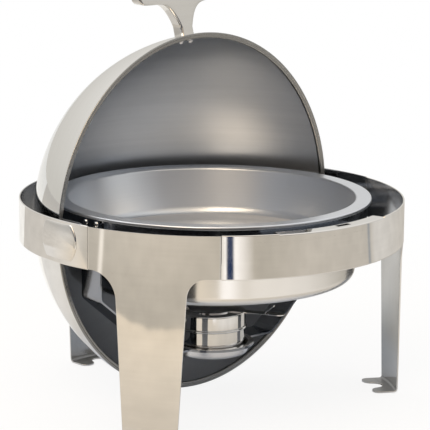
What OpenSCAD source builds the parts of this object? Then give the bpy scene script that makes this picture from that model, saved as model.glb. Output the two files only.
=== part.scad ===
// Round roll-top chafing dish on three sheet legs, lid rolled open.
// Millimetres. +Z is up, the front is -Y and the lid turns about the X direction.
// The origin is on the floor, under the centre of the ring.

/* [Ring] */
// Outer radius of the ring
ring_r = 244; // [235:1:260]
// Height of the ring band
ring_h = 52; // [46:1:60]
// Clearance of the open lid's rim above the floor
floor_gap = 7.5; // [4:0.5:40]
// Thickness of the ring and leg sheet
sheet_t = 2; // [1.5:0.25:3]
// Width of the butt seam between band and leg head
seam_w = 0.4; // [0.2:0.1:0.8]

/* [Lid rest] */
// Half angle of the lid rest folded in from the front band
rest_half = 20.4; // [14:0.2:26]
// Turn of the lid rest's middle from the front
rest_turn = -3; // [-6:0.5:6]
// Width of the lid rest
rest_w = 20; // [18:1:24]
// Step down from the lid rest to the ledge that joins the collar
rest_lip = 12; // [8:1:16]
// Bend radius of the fold
rest_bend = 4; // [3:0.5:6]
// Length of the slot in the lid rest
slot_len = 22; // [12:1:28]
// Width of the slot in the lid rest
slot_w = 7; // [3:0.5:8]

/* [Legs] */
// Half angle of a leg's T head
head_half = 20; // [17:0.5:24]
// Width of a leg just under the ring
leg_top_w = 92; // [80:1:104]
// Width of a leg at the floor
leg_foot_w = 68; // [60:1:80]
// Fillet between T head and leg
leg_fillet = 24; // [14:1:30]
// Reach of a foot inward from the leg
foot_len = 32; // [26:1:40]
// Bend radius of a foot
foot_bend = 5; // [4:0.5:8]
// Width of the notch in a foot
foot_notch_w = 25; // [18:1:32]
// Depth of the notch in a foot
foot_notch_d = 19; // [14:1:20]

/* [Pans] */
// Reach of the food pan's flange past the collar
food_over = 5.4; // [4:0.1:8]
// Width of the food pan's flange
food_flange = 20.4; // [18:0.2:23]
// Taper of the food pan's wall from its mouth to its floor
food_taper = 15; // [8:1:24]
// Depth of the food pan
food_depth = 65; // [50:1:72]
// Rise of the food pan's flange above the ring
food_rise = 2.5; // [2.2:0.1:6]
// Drop of the turned-down edge of the food pan's flange
food_edge = 4; // [3:0.5:6]
// Gap between the mouths of the food pan and the water pan
water_gap = 6; // [5:0.5:8]
// Taper of the water pan's wall from its mouth to its floor
water_taper = 7; // [4:0.5:12]
// Depth of the water pan
water_depth = 102; // [90:1:106]
// Thickness of the pans' sheet
pan_t = 1; // [0.8:0.1:1.1]
// Distance from the ring's outside in to the collar that holds the pans
collar_inset = 47; // [44:0.5:50]
// Thickness of the collar's sheet
collar_t = 1.5; // [1:0.25:2.5]
// Height of the collar
collar_h = 44; // [38:1:50]

/* [Lid] */
// Distance from the ring's outside in to the lid's rim
lid_inset = 14; // [12:0.5:16]
// How much shallower the lid is than a half ball
lid_shallow = 34; // [30:1:42]
// Thickness of the lid's sheet
lid_t = 1.2; // [1:0.1:1.4]
// Drop of the pivot axis below the ring's top
pivot_drop = 24.5; // [24:0.5:27]
// Gap between the closed lid's rim and the lid rest
rim_gap = 0.6; // [0.4:0.1:2]
// Width of the rim's turned-in flange
rim_flange = 7; // [5:0.5:8]
// Length of the rim's return lip
rim_lip = 5; // [3:0.5:8]

/* [Pivots] */
// Radius of a pivot pin
pin_r = 5; // [4:0.5:6]
// Running clearance of a pin in a lid ear
pin_clear = 0.05; // [0.03:0.01:0.08]
// Radius of a pivot cap
cap_r = 33; // [28:0.5:36]
// Half height of a pivot cap between its two straight edges
cap_half = 22.5; // [18:0.5:24]
// Angle of a pivot cap's middle behind the pivot
cap_turn = 2.1; // [0:0.1:4]
// Height of a pivot cap's crown above the band
cap_rise = 3; // [2.5:0.1:4.5]
// Outer radius of a pivot sleeve
sleeve_r = 8; // [7:0.5:10]
// Half width of a lid ear
ear_half = 20; // [16:0.5:21]
// Sheet thickness of the lid ears
ear_t = 2.5; // [2:0.25:3]
// Gap between a lid ear and the return lip of the rim
ear_gap = 1.5; // [1.5:0.25:3]
// Distance behind the rim where a lid ear meets the dome
ear_seat = 15; // [12:1:20]
// Length of a lid ear along the dome
ear_foot = 22; // [16:1:28]
// Bend radius of a lid ear
ear_bend = 6; // [4:0.5:8]
// Width across the flats of a pivot nut
nut_af = 13; // [11:0.5:15]
// Height of a pivot nut
nut_h = 5.5; // [4:0.5:5.5]
// Distance of a lid stop pin behind the pivot axis
stop_y = 13.5; // [12:0.5:14]
// Radius of a lid stop pin
stop_r = 3; // [2:0.25:3.5]

/* [Handle] */
// Distance of the handle behind the lid's rim
handle_back = 29; // [18:1:34]
// Thickness of the handle casting
handle_t = 18; // [12:0.5:22]
// Width of the handle's stem
stem_w = 20.5; // [20.5:0.5:26]
// Length of the handle's bar
bar_len = 140; // [130:1:170]
// Height above the dome where the stem starts to flare
flare_from = 12; // [8:1:16]
// Height of the bar's underside above the dome
bar_under = 44; // [42:0.5:56]
// Height of the bar's top above the dome
bar_top = 65; // [60:1:76]
// Length of the bar past the flare at each end
bar_end = 14.5; // [11:0.5:20]
// Distance between the two handle studs
stud_pitch = 16; // [13:0.5:16]
// Radius of a handle stud
stud_r = 1.75; // [1.5:0.25:1.75]
// Width across the flats of a cap nut on a handle stud
cap_nut_af = 8; // [7:0.5:9]
// Height of a cap nut
cap_nut_h = 9; // [7:0.5:10]

/* [Burner hanger] */
// Width of the hanger strap
hanger_w = 35; // [34:1:40]
// Thickness of the hanger strap
hanger_t = 2.5; // [2:0.25:3]
// Depth below the water pan where the strap bends inward
hanger_drop = 3.5; // [2:0.5:12]
// Depth of the strap's base below the water pan
base_drop = 88.5; // [80:0.5:98]
// Half length of the strap's base
base_half = 92; // [84:1:110]
// Width of the ring in the strap's base
base_ring_w = 6.5; // [6:0.5:18]

/* [Burner] */
// Gap between the fuel holder and the outside of the burner tray's cup
tray_gap = 5.2; // [4:0.2:8]
// Depth of the burner tray
tray_depth = 14; // [10:1:18]
// Width of the burner tray's flange
tray_flange = 5.5; // [4:0.5:7]
// Outer radius of the fuel holder
fuel_r = 43.7; // [40:0.1:45]
// Height of the fuel holder
fuel_h = 54; // [46:1:58]
// Height of the fuel holder's cover
cover_h = 20; // [12:1:26]
// Thickness of the fuel holder's sheet
fuel_t = 0.8; // [0.6:0.1:1]
// Width of the cover's shelf round the flame opening
flame_shelf = 19.3; // [18.5:0.1:24]
// Heading of the damper handle, from the front towards +X
damper_heading = 30; // [0:1:45]
// Reach of the damper handle from the middle
damper_reach = 98; // [80:1:105]
// Thickness of the damper plate
damper_t = 1; // [0.8:0.1:1.5]

/* [Hidden] */
$fn = 96;
bend_steps = 6;
gap = 0.05;
seat_gap = 0.1;

ring_in = ring_r - sheet_t;
collar_r = ring_r - collar_inset;
rest_r = ring_r - rest_w;
lid_rim_r = ring_r - lid_inset;
lid_depth = lid_rim_r - lid_shallow;
ring_top = floor_gap + lid_rim_r + pivot_drop;
ring_low = ring_top - ring_h;
seam_half = asin(seam_w / 2 / ring_r);
leg_turns = [-60, 60, 180];

axis_z = ring_top - pivot_drop;
rim_y = pivot_drop + rim_gap;
lid_r = (lid_rim_r * lid_rim_r + lid_depth * lid_depth) / (2 * lid_depth);
lid_y = rim_y + lid_depth - lid_r;
ear_x = lid_rim_r - rim_flange - ear_gap;
handle_tilt = asin((rim_y + handle_back - lid_y) / lid_r);
flare_len = bar_len / 2 - stem_w / 2 - bar_end;

food_rim_r = collar_r + food_over;
food_mouth_r = food_rim_r - food_flange;
food_base_r = food_mouth_r - food_taper;
water_mouth_r = food_mouth_r + water_gap;
water_base_r = water_mouth_r - water_taper;
food_top = ring_top + food_rise;
food_floor = food_top - food_depth;
water_top = food_top - pan_t;
water_floor = water_top - water_depth;
collar_top = water_top - pan_t;
flange_clear = 1;
water_rim_r = food_rim_r - pan_t - flange_clear;

strap_x = collar_r + seat_gap + hanger_t;
strap_top = ring_top - 2.5;
strap_bend_z = water_floor - hanger_drop;
base_z = water_floor - base_drop - hanger_t;
rivet_z = ring_top - 8;
rivet_pitch = 20;
rivet_r = 2;
rivet_head_r = 4;
rivet_head_h = 2;

tray_r = fuel_r + tray_gap;
tray_bend = 2;
base_ring_r = tray_r + base_ring_w;
tray_top = base_z + hanger_t + pan_t;
tray_floor = tray_top - tray_depth;
fuel_floor = tray_floor;
fuel_top = fuel_floor + fuel_h;
damper_z = fuel_top + seat_gap;
flame_r = fuel_r - flame_shelf;
cover_bend = 2.5;
damper_disc_r = flame_r + 4;
damper_pivot = damper_disc_r + 7;
damper_eye_r = 6;
damper_rivet_r = 2;
side_rivet_z = fuel_top - 7;

steel = [0.82, 0.81, 0.78];
satin = [0.62, 0.63, 0.65];
dark_steel = [0.42, 0.43, 0.46];

// Sheet profiles: corner points [x, y, bend radius] become a bent strip

function unit(v) = v / norm(v);
function left_of(v) = [-v[1], v[0]];
function flat(p) = [p[0], p[1]];

function corner_arc(a, b, c, r) =
    let (
        u = unit(a - b),
        v = unit(c - b),
        half = acos(u * v) / 2,
        reach = r / tan(half),
        mid = b + unit(u + v) * r / sin(half),
        from = b + u * reach - mid,
        to = b + v * reach - mid,
        start = atan2(from[1], from[0]),
        turn = ((atan2(to[1], to[0]) - start + 540) % 360) - 180
    )
    [for (i = [0 : bend_steps])
        let (angle = start + turn * i / bend_steps)
        mid + r * [cos(angle), sin(angle)]];

function bent(p) = [
    for (i = [0 : len(p) - 1])
        each (i > 0 && i < len(p) - 1 && p[i][2] > 0
            ? corner_arc(flat(p[i - 1]), flat(p[i]), flat(p[i + 1]), p[i][2])
            : [flat(p[i])])
];

function segment_side(p, i) = left_of(unit(p[i + 1] - p[i]));

function side_step(p, i, t) =
    i == 0 ? t * segment_side(p, 0)
    : i == len(p) - 1 ? t * segment_side(p, i - 1)
    : let (sum = segment_side(p, i - 1) + segment_side(p, i)) 2 * t * sum / (sum * sum);

// Closed outline of a strip of thickness t, laid on the left of the bent path
function strip(p, t) =
    let (line = bent(p))
    concat(line, [for (i = [len(line) - 1 : -1 : 0]) line[i] + side_step(line, i, t)]);

// Placements

module turned_sheet(from, to) {
    rotate([0, 0, from - 90])
        rotate_extrude(angle = to - from)
            children();
}

module along_x(x, y, z) {
    translate([x, y, z])
        rotate([0, 90, 0])
            children();
}

module at_handle() {
    translate([0, lid_y, axis_z])
        rotate([-handle_tilt, 0, 0])
            children();
}

module at_lid() {
    translate([0, rim_y, axis_z])
        rotate([-90, 0, 0])
            children();
}

module at_damper() {
    rotate([0, 0, damper_heading])
        children();
}

module slot(length, width, height) {
    straight = length - width;
    translate([-straight / 2, -width / 2, 0])
        cube([straight, width, height]);
    for (side = [-1, 1])
        translate([side * straight / 2, 0, 0])
            cylinder(d = width, h = height);
}

// Ring

module band(from, to) {
    turned_sheet(from, to)
        translate([ring_in, ring_low])
            square([sheet_t, ring_h]);
}

module pivot_holes() {
    along_x(-ring_r - 1, 0, axis_z)
        cylinder(r = pin_r + gap, h = 2 * ring_r + 2);
}

// Front band: its top edge is folded in as the lid rest, stepped down to the collar
module band_front() {
    end = leg_turns[1] - head_half - 2 * seam_half;
    relief = 4 * seam_half;
    fold_h = 2 * rest_bend;
    inset = sheet_t / 10;
    fold_r = ring_r - inset;
    slot_y = -(ring_r - rest_bend - slot_w);
    rest_path = [
        [fold_r, ring_top - 2 * fold_h, 0],
        [fold_r, ring_top, rest_bend],
        [rest_r, ring_top, rest_bend],
        [rest_r, ring_top - rest_lip, rest_bend],
        [collar_r + gap, ring_top - rest_lip, 0]
    ];
    color(steel)
        difference() {
            union() {
                difference() {
                    band(-end, end);
                    turned_sheet(rest_turn - rest_half - relief, rest_turn + rest_half + relief)
                        translate([ring_in - 1, ring_top - fold_h])
                            square([sheet_t + 2, fold_h + 1]);
                }
                turned_sheet(rest_turn - rest_half, rest_turn + rest_half)
                    polygon(strip(rest_path, sheet_t - 2 * inset));
            }
            translate([0, slot_y, ring_top - 2 * sheet_t])
                slot(slot_len, slot_w, 3 * sheet_t);
        }
}

module band_rear(side) {
    from = leg_turns[1] + head_half + 2 * seam_half;
    to = leg_turns[2] - head_half - 2 * seam_half;
    color(steel)
        difference() {
            if (side > 0)
                band(from, to);
            else
                band(-to, -from);
            pivot_holes();
        }
}

// Legs

module leg_outline() {
    top_half = leg_top_w / 2;
    foot_half = leg_foot_w / 2;
    head_wide = ring_r * sin(head_half) + 5;
    slant = (top_half - foot_half) / ring_low;
    mid_angle = atan(slant);
    fillet_x = foot_half + slant * (ring_low - leg_fillet) + leg_fillet / cos(mid_angle);
    fillet_z = ring_low - leg_fillet;
    fillet = [for (i = [0 : bend_steps])
        let (angle = 180 - mid_angle - (90 - mid_angle) * i / bend_steps)
        [fillet_x + leg_fillet * cos(angle), fillet_z + leg_fillet * sin(angle)]];
    half = concat([[foot_half, -1]], fillet, [[head_wide, ring_low], [head_wide, ring_top + 1]]);
    polygon(concat(half, [for (i = [len(half) - 1 : -1 : 0]) [-half[i][0], half[i][1]]]));
}

// The fork of a foot: an open notch and round prong ends
module foot_cut() {
    tip_y = -(ring_r - foot_len);
    prong_w = (leg_foot_w - foot_notch_w) / 2;
    notch_y = tip_y - foot_notch_d + foot_notch_w / 2;
    round_r = prong_w / 2 - 0.5;
    outer = leg_foot_w / 2;
    inner = foot_notch_w / 2;
    translate([-inner, notch_y])
        square([foot_notch_w, ring_r]);
    translate([0, notch_y])
        circle(d = foot_notch_w);
    for (side = [-1, 1], edge = [[inner, 1], [outer, -1]])
        translate([side * edge[0], tip_y])
            mirror([side * edge[1] < 0 ? 1 : 0, 0])
                difference() {
                    translate([-1, -round_r])
                        square([round_r + 1, round_r + 1]);
                    translate([round_r, -round_r])
                        circle(r = round_r);
                }
}

module leg(turn) {
    path = [
        [ring_r - foot_len, 0, 0],
        [ring_r, 0, foot_bend],
        [ring_r, ring_top, 0]
    ];
    color(steel)
        rotate([0, 0, turn])
            difference() {
                intersection() {
                    turned_sheet(-head_half, head_half)
                        polygon(strip(path, sheet_t));
                    rotate([90, 0, 0])
                        linear_extrude(ring_r + 1)
                            leg_outline();
                }
                translate([0, 0, -1])
                    linear_extrude(sheet_t + 2)
                        foot_cut();
            }
}

// What carries the pans

module hanger_rivet_bores() {
    for (y = [-1, 1])
        along_x(-strap_x - 1, y * rivet_pitch / 2, rivet_z)
            cylinder(r = rivet_r + gap, h = 2 * strap_x + 2);
}

module pan_collar() {
    color(dark_steel)
        difference() {
            rotate_extrude()
                translate([collar_r - collar_t, collar_top - collar_h])
                    square([collar_t, collar_h]);
            hanger_rivet_bores();
            pivot_holes();
        }
}

module water_pan() {
    path = [
        [water_rim_r, water_top, 0],
        [water_mouth_r, water_top, 4],
        [water_base_r, water_floor, 12],
        [0, water_floor, 0]
    ];
    color(satin)
        rotate_extrude()
            polygon(strip(path, pan_t));
}

module food_pan() {
    path = [
        [food_rim_r, food_top - food_edge, 0],
        [food_rim_r, food_top, 1.8],
        [food_mouth_r, food_top, 4],
        [food_base_r, food_floor, 18],
        [0, food_floor, 0]
    ];
    color(satin)
        rotate_extrude()
            polygon(strip(path, pan_t));
}

// Pivots

module stop_pin_at(x) {
    along_x(x, stop_y, axis_z - ear_half - stop_r - 0.3)
        children();
}

module lid_stop_pins() {
    reach = ear_x + 0.3;
    color(satin)
        for (side = [0, 1])
            mirror([side, 0, 0]) {
                stop_pin_at(strap_x)
                    cylinder(r = stop_r, h = reach - strap_x);
                stop_pin_at(strap_x - hanger_t)
                    cylinder(r = stop_r - 1, h = hanger_t);
            }
}

module stop_pin_bores() {
    stop_pin_at(-strap_x - 1)
        cylinder(r = stop_r - 1 + gap, h = 2 * strap_x + 2);
}

module pivot_pin(side) {
    thread_end = collar_r - collar_t - nut_h - 1;
    chamfer = 0.8;
    color(satin)
        mirror([side < 0 ? 1 : 0, 0, 0]) {
            along_x(thread_end + chamfer, 0, axis_z)
                cylinder(r = pin_r, h = ring_r - thread_end - chamfer);
            along_x(thread_end, 0, axis_z)
                cylinder(r1 = pin_r - chamfer, r2 = pin_r, h = chamfer);
        }
}

module pivot_nut(side) {
    outer = collar_r - collar_t - 0.5;
    color(satin)
        mirror([side < 0 ? 1 : 0, 0, 0])
            difference() {
                along_x(outer - nut_h, 0, axis_z)
                    cylinder(d = nut_af / cos(30), h = nut_h, $fn = 6);
                along_x(outer - nut_h - 1, 0, axis_z)
                    cylinder(r = pin_r + gap, h = nut_h + 2);
            }
}

// Domed disc over the pivot, cut straight above and below and hollowed to the round of the band
module pivot_cap(side) {
    drop = 1.5 + cap_r * cap_r / (2 * ring_r);
    crown = [for (i = [0 : bend_steps])
        let (r = cap_r * i / bend_steps)
        [r, 6 + cap_rise - drop * pow(i / bend_steps, 2)]];
    color(steel)
        mirror([side < 0 ? 1 : 0, 0, 0])
            rotate([0, 0, cap_turn])
                difference() {
                    intersection() {
                        along_x(ring_r - 6, 0, axis_z)
                            rotate_extrude()
                                polygon(concat([[0, 0]], crown, [[cap_r, 0]]));
                        translate([0, -2 * cap_r, axis_z - cap_half])
                            cube([2 * ring_r, 4 * cap_r, 2 * cap_half]);
                    }
                    cylinder(r = ring_r + gap, h = ring_top + ring_h, $fn = 720);
                }
}

module pivot_sleeves(side) {
    side_clear = 0.3;
    outer_from = ear_x + side_clear;
    outer_to = sqrt(ring_in * ring_in - sleeve_r * sleeve_r) - gap;
    inner_to = ear_x - ear_t - side_clear;
    color(satin)
        mirror([side < 0 ? 1 : 0, 0, 0])
            difference() {
                union() {
                    along_x(outer_from, 0, axis_z)
                        cylinder(r = sleeve_r, h = outer_to - outer_from);
                    along_x(strap_x, 0, axis_z)
                        cylinder(r = sleeve_r, h = inner_to - strap_x);
                }
                along_x(strap_x - 1, 0, axis_z)
                    cylinder(r = pin_r + gap, h = ring_r - strap_x);
            }
}

// Lid

module lid_shell() {
    sphere_z = lid_depth - lid_r;
    color(steel)
        difference() {
            union() {
                at_lid() {
                    intersection() {
                        translate([0, 0, sphere_z])
                            difference() {
                                sphere(r = lid_r, $fn = 160);
                                sphere(r = lid_r - lid_t, $fn = 160);
                            }
                        cylinder(r = lid_r + 1, h = lid_r);
                    }
                    rotate_extrude()
                        polygon(strip([
                            [lid_rim_r - lid_t / 2, 0, 0],
                            [lid_rim_r - rim_flange, 0, 1.6],
                            [lid_rim_r - rim_flange, rim_lip, 0]
                        ], -lid_t));
                }
            }
            handle_stud_bores(lid_r - 2 * lid_t, 4 * lid_t);
        }
}

module handle_stud_bores(from, depth) {
    at_handle()
        for (side = [-1, 1])
            translate([side * stud_pitch / 2, 0, from])
                cylinder(r = stud_r + gap, h = depth);
}

module lid_ear(side) {
    seat_y = [rim_y + ear_seat, rim_y + ear_seat + ear_foot];
    cut_x = ear_x - ear_half;
    seat_x = [for (y = seat_y)
        sqrt(pow(lid_r - lid_t, 2) - pow(y - lid_y, 2) - ear_half * ear_half) - seat_gap];
    path = [
        [ear_x, -ear_half, 0],
        [ear_x, rim_y + rim_lip, ear_bend],
        [seat_x[0], seat_y[0], ear_bend],
        [seat_x[1], seat_y[1], 0]
    ];
    color(satin)
        mirror([side < 0 ? 1 : 0, 0, 0])
            difference() {
                intersection() {
                    translate([0, 0, axis_z - ear_half])
                        linear_extrude(2 * ear_half)
                            polygon(strip(path, ear_t));
                    union() {
                        along_x(cut_x, 0, axis_z)
                            cylinder(r = ear_half, h = 2 * ear_half);
                        translate([cut_x, 0, axis_z - ear_half])
                            cube([2 * ear_half, lid_depth, 2 * ear_half]);
                    }
                }
                along_x(cut_x, 0, axis_z)
                    cylinder(r = pin_r + pin_clear, h = 2 * ear_half);
            }
}

// Front view of the casting: the stem flares into the bar along a power curve
module handle_outline() {
    steps = 12;
    stem_half = stem_w / 2;
    flare_power = 4.3;
    flare = [for (i = [0 : steps])
        let (s = i / steps)
        [stem_half + flare_len * s,
         flare_from + (bar_under - flare_from) * (1 - pow(1 - s, flare_power))]];
    tip = bent([
        [stem_half + flare_len, bar_under, 0],
        [bar_len / 2, bar_under + 0.5, 7],
        [bar_len / 2, bar_top - 1.5, 8],
        [0, bar_top, 0]
    ]);
    side = concat([[stem_half, -8]], flare, [for (i = [1 : len(tip) - 1]) tip[i]]);
    polygon(concat(side, [for (i = [len(side) - 2 : -1 : 0]) [-side[i][0], side[i][1]]]));
}

// Side profile of the casting: straight stem, round-backed bar
module handle_side() {
    translate([-handle_t / 2, -10])
        square([handle_t, bar_top + 10 - handle_t / 2]);
    translate([0, bar_top - handle_t / 2])
        circle(d = handle_t);
}

module lid_handle() {
    color(steel)
        difference() {
            at_handle()
                translate([0, 0, lid_r])
                    intersection() {
                        rotate([90, 0, 0])
                            translate([0, 0, -handle_t])
                                linear_extrude(2 * handle_t)
                                    handle_outline();
                        rotate([90, 0, 90])
                            translate([0, 0, -bar_len])
                                linear_extrude(2 * bar_len)
                                    handle_side();
                    }
            translate([0, lid_y, axis_z])
                sphere(r = lid_r + gap, $fn = 160);
            handle_stud_bores(lid_r - 10, 28);
        }
}

// Studs of the handle, each with a domed cap nut inside the lid
module handle_cap_nuts() {
    dome_r = cap_nut_af / 2 - 0.2;
    hex_h = cap_nut_h - dome_r;
    inside = lid_r - lid_t - 0.4;
    color(satin)
        at_handle()
            for (side = [-1, 1])
                translate([side * stud_pitch / 2, 0, inside]) {
                    cylinder(r = stud_r, h = 16);
                    translate([0, 0, -hex_h])
                        cylinder(d = cap_nut_af / cos(30), h = hex_h, $fn = 6);
                    translate([0, 0, -hex_h])
                        sphere(r = dome_r);
                }
}

// Burner

module burner_hanger() {
    path = [
        [-strap_x, strap_top, 0],
        [-strap_x, strap_bend_z, 10],
        [-base_half, base_z, 10],
        [base_half, base_z, 10],
        [strap_x, strap_bend_z, 10],
        [strap_x, strap_top, 0]
    ];
    color(satin)
        difference() {
            union() {
                rotate([90, 0, 0])
                    linear_extrude(hanger_w, center = true)
                        polygon(strip(path, hanger_t));
                translate([0, 0, base_z])
                    cylinder(r = base_ring_r, h = hanger_t);
            }
            translate([0, 0, base_z - 1])
                cylinder(r = tray_r + tray_bend - pan_t + seat_gap, h = hanger_t + 2);
            strap_corners();
            hanger_rivet_bores();
            stop_pin_bores();
            pivot_holes();
        }
}

// Rounds off the strap's four top corners
module strap_corners() {
    round_r = 6;
    for (y = [-1, 1])
        difference() {
            translate([-strap_x - 1, y * (hanger_w - round_r) / 2 - round_r / 2 - 0.5, strap_top - round_r])
                cube([2 * strap_x + 2, round_r + 1, round_r + 1]);
            along_x(-strap_x - 2, y * (hanger_w / 2 - round_r), strap_top - round_r)
                cylinder(r = round_r, h = 2 * strap_x + 4);
        }
}

module hanger_rivets() {
    tail_r = 3;
    tail_h = 1;
    inside = collar_r - collar_t - 0.5;
    color(satin)
        for (side = [0, 1], y = [-1, 1])
            mirror([side, 0, 0]) {
                along_x(inside, y * rivet_pitch / 2, rivet_z)
                    cylinder(r = rivet_r, h = strap_x - inside + gap);
                along_x(strap_x + gap, y * rivet_pitch / 2, rivet_z)
                    cylinder(r1 = rivet_head_r, r2 = rivet_head_r - 1.6, h = rivet_head_h);
                along_x(inside - tail_h, y * rivet_pitch / 2, rivet_z)
                    cylinder(r = tail_r, h = tail_h);
            }
}

module burner_tray() {
    path = [
        [tray_r + tray_flange, tray_top, 0],
        [tray_r - pan_t, tray_top, tray_bend],
        [tray_r - 2.5 * pan_t, tray_floor, 4],
        [0, tray_floor, 0]
    ];
    color(satin)
        rotate_extrude()
            polygon(strip(path, pan_t));
}

module fuel_cup() {
    inner = fuel_r - fuel_t;
    low = fuel_floor + fuel_t;
    path = [
        [inner, fuel_top - cover_bend - seat_gap, 0],
        [inner, low, 2],
        [0, low, 0]
    ];
    color(steel)
        difference() {
            rotate_extrude()
                polygon(strip(path, fuel_t));
            side_rivet_bores();
        }
}

module side_rivet_bores() {
    along_x(-fuel_r - 4, 0, side_rivet_z)
        cylinder(r = rivet_r + gap, h = 2 * fuel_r + 8);
}

module fuel_cover() {
    outer = fuel_r + seat_gap + fuel_t;
    bead_r = 1.4;
    path = [
        [outer, fuel_top - cover_h, 0],
        [outer, fuel_top, cover_bend],
        [flame_r, fuel_top, 0]
    ];
    color(steel)
        difference() {
            rotate_extrude()
                union() {
                    polygon(strip(path, fuel_t));
                    difference() {
                        translate([outer - fuel_t / 2, fuel_top - cover_h])
                            circle(r = bead_r);
                        translate([0, fuel_floor])
                            square([fuel_r + seat_gap, fuel_h]);
                    }
                }
            at_damper()
                translate([0, damper_pivot, fuel_top - 4])
                    cylinder(r = damper_rivet_r + gap, h = 8);
            side_rivet_bores();
        }
}

module fuel_side_rivets() {
    outer = fuel_r + seat_gap + fuel_t;
    inside = fuel_r - fuel_t - 1;
    color(satin)
        for (side = [0, 1])
            mirror([side, 0, 0]) {
                along_x(inside, 0, side_rivet_z)
                    cylinder(r = rivet_r, h = outer - inside);
                along_x(outer, 0, side_rivet_z)
                    cylinder(r1 = rivet_r + 0.8, r2 = rivet_r - 0.6, h = 1.4);
            }
}

module damper_rivet() {
    head_h = 1.2;
    under = fuel_top - fuel_t;
    color(satin)
        at_damper()
            translate([0, damper_pivot, 0]) {
                translate([0, 0, under])
                    cylinder(r = damper_rivet_r, h = damper_z + damper_t + 0.3 - under);
                translate([0, 0, damper_z + damper_t + 0.3])
                    cylinder(r1 = damper_rivet_r + 1.6, r2 = damper_rivet_r, h = head_h);
                translate([0, 0, under - head_h])
                    cylinder(r = damper_rivet_r + 1.2, h = head_h);
            }
}

module damper_outline() {
    neck_half = 5;
    tip_half = 8;
    circle(r = damper_disc_r);
    polygon([
        [-neck_half, 0],
        [-tip_half, -damper_reach + tip_half],
        [tip_half, -damper_reach + tip_half],
        [neck_half, 0]
    ]);
    translate([0, -damper_reach + tip_half])
        circle(r = tip_half);
    translate([0, damper_pivot])
        circle(r = damper_eye_r);
    translate([-damper_eye_r, 0])
        square([2 * damper_eye_r, damper_pivot]);
}

// The tongue that is cut free of the damper handle and turned up
module damper_tongue() {
    tongue_w = 6;
    tongue_len = 16;
    rise_angle = 40;
    translate([0, -damper_reach + 26, damper_z])
        rotate([-rise_angle, 0, 0])
            translate([-tongue_w / 2, -tongue_len, 0])
                cube([tongue_w, tongue_len, damper_t]);
}

module damper() {
    color(steel)
        at_damper()
            difference() {
                union() {
                    translate([0, 0, damper_z])
                        linear_extrude(damper_t)
                            damper_outline();
                    damper_tongue();
                }
                translate([0, damper_pivot, damper_z - 1])
                    cylinder(r = damper_rivet_r + pin_clear, h = damper_t + 2);
            }
}

band_front();
band_rear(-1);  // band_rear_left
band_rear(1);  // band_rear_right
leg(leg_turns[0]);  // leg_front_left
leg(leg_turns[1]);  // leg_front_right
leg(leg_turns[2]);  // leg_rear
pan_collar();
water_pan();
pivot_pin(-1);  // pivot_pin_left
pivot_pin(1);  // pivot_pin_right
pivot_cap(-1);  // pivot_cap_left
pivot_cap(1);  // pivot_cap_right
pivot_nut(-1);  // pivot_nut_left
pivot_nut(1);  // pivot_nut_right
pivot_sleeves(-1);  // pivot_sleeves_left
pivot_sleeves(1);  // pivot_sleeves_right
lid_stop_pins();
burner_hanger();
hanger_rivets();
burner_tray();
food_pan();
fuel_cup();
fuel_cover();
fuel_side_rivets();
damper_rivet();
damper();
lid_shell();
lid_ear(-1);  // lid_ear_left
lid_ear(1);  // lid_ear_right
lid_handle();
handle_cap_nuts();
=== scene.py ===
"""Round roll-top chafing dish: polished bands, legs and lid, satin pans and the burner below them."""
import bmesh
import bpy
import numpy as np
from mathutils import Matrix, Vector


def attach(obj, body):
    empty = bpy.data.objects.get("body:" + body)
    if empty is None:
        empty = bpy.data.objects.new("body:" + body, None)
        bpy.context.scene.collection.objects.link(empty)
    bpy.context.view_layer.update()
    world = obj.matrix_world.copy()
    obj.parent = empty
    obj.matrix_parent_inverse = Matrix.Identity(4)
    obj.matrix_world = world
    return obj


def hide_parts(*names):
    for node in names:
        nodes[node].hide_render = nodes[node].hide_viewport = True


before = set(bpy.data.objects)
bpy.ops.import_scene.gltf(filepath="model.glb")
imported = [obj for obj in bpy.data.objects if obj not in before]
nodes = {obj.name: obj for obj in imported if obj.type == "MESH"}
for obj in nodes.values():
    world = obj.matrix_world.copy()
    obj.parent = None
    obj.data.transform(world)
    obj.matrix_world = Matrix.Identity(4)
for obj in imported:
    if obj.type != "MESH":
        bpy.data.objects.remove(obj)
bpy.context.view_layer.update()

# Sizes of the dish in millimetres and degrees, the same as the solids have
MM = 0.001
RING_R, RING_TOP, RING_H, SHEET = 244.0, 262.0, 52.0, 2.0
RING_LOW, RING_IN = RING_TOP - RING_H, RING_R - SHEET
HEAD_HALF, SEAM = 20.0, 0.4
REST_TURN, REST_HALF, REST_R, REST_STEP, REST_BEND = -3.0, 20.4, 224.0, 12.0, 4.0
COLLAR_R, COLLAR_T, COLLAR_H = 197.0, 1.5, 44.0
AXIS_Z = RING_TOP - 24.5
RIM_Y, RIM_R, RIM_FLANGE, RIM_LIP = 25.1, 230.0, 7.0, 5.0
LID_DEPTH, LID_T = 196.0, 1.2
LID_R = (RIM_R ** 2 + LID_DEPTH ** 2) / (2 * LID_DEPTH)
LID_Y = RIM_Y + LID_DEPTH - LID_R
HANDLE_TILT = np.degrees(np.arcsin((RIM_Y + 29.0 - LID_Y) / LID_R))
PAN_T = 1.0
FOOD_R, FOOD_MOUTH, FOOD_BASE, FOOD_DEPTH = 202.4, 182.0, 167.0, 65.0
FOOD_TOP = RING_TOP + 2.5
WATER_R, WATER_MOUTH, WATER_BASE, WATER_DEPTH = 200.4, 188.0, 181.0, 102.0
WATER_TOP = FOOD_TOP - 1.0
WATER_FLOOR = WATER_TOP - WATER_DEPTH
FUEL_R, FLAME_R, FUEL_T = 43.7, 24.4, 0.8
TRAY_R, TRAY_TOP = FUEL_R + 5.2, WATER_FLOOR - 88.5 + 1.0
FUEL_FLOOR = TRAY_TOP - 14.0
FUEL_TOP = FUEL_FLOOR + 54.0
COVER_R, COVER_H = FUEL_R + 0.9, 20.0
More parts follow.
